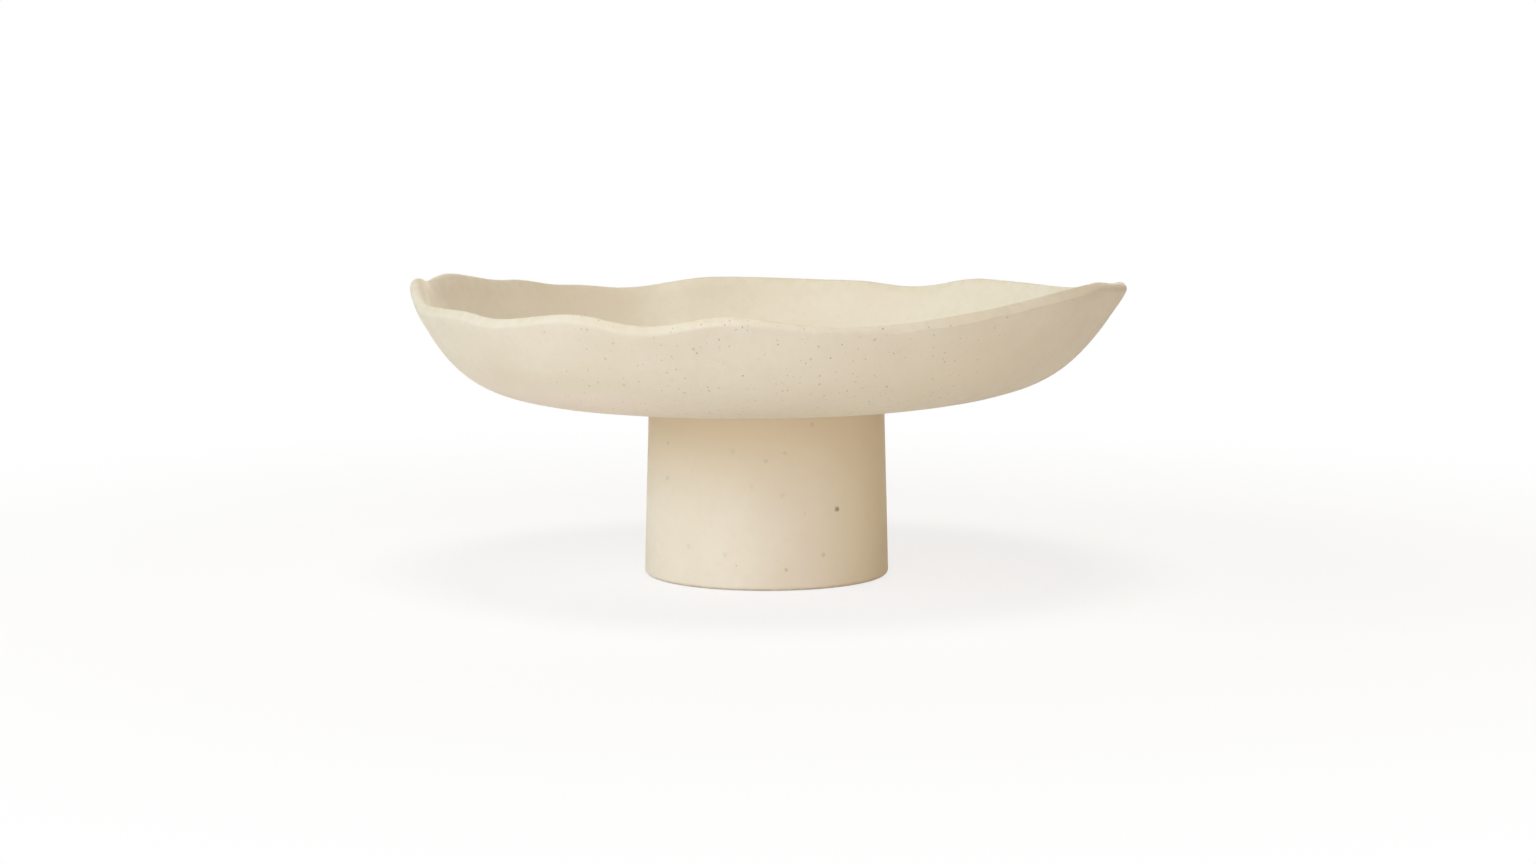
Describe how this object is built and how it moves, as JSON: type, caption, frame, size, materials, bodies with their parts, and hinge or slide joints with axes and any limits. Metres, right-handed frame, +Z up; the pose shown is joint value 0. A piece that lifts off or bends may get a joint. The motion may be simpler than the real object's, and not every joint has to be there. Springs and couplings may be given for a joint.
{
  "type": "footed serving dish",
  "caption": "Wide shallow stoneware bowl with a softly waved, hand-drawn rim, raised on a hollow cylindrical foot, for serving or displaying food.",
  "frame": {"origin": "centre of the foot's base, on the surface that the dish stands on", "axes": "+Z up along the foot's axis, +X to the right as seen from the front, where the rim is highest a little in front of the right end, and the front facing -Y"},
  "size_m": [0.299, 0.2865, 0.1267],
  "materials": {
    "bowl_stoneware": "matte warm off-white, with fine dark specks",
    "foot_stoneware": "matte warm off-white, with a few larger brown specks",
    "slip": "matte, fired slip",
    "coil_clay": "matte, thumbed smooth"
  },
  "bodies": {
    "root": {"dish_bowl": "bowl_stoneware", "pedestal_foot": "foot_stoneware", "slip_seam": "slip", "joint_coil": "coil_clay"}
  },
  "joints": []
}
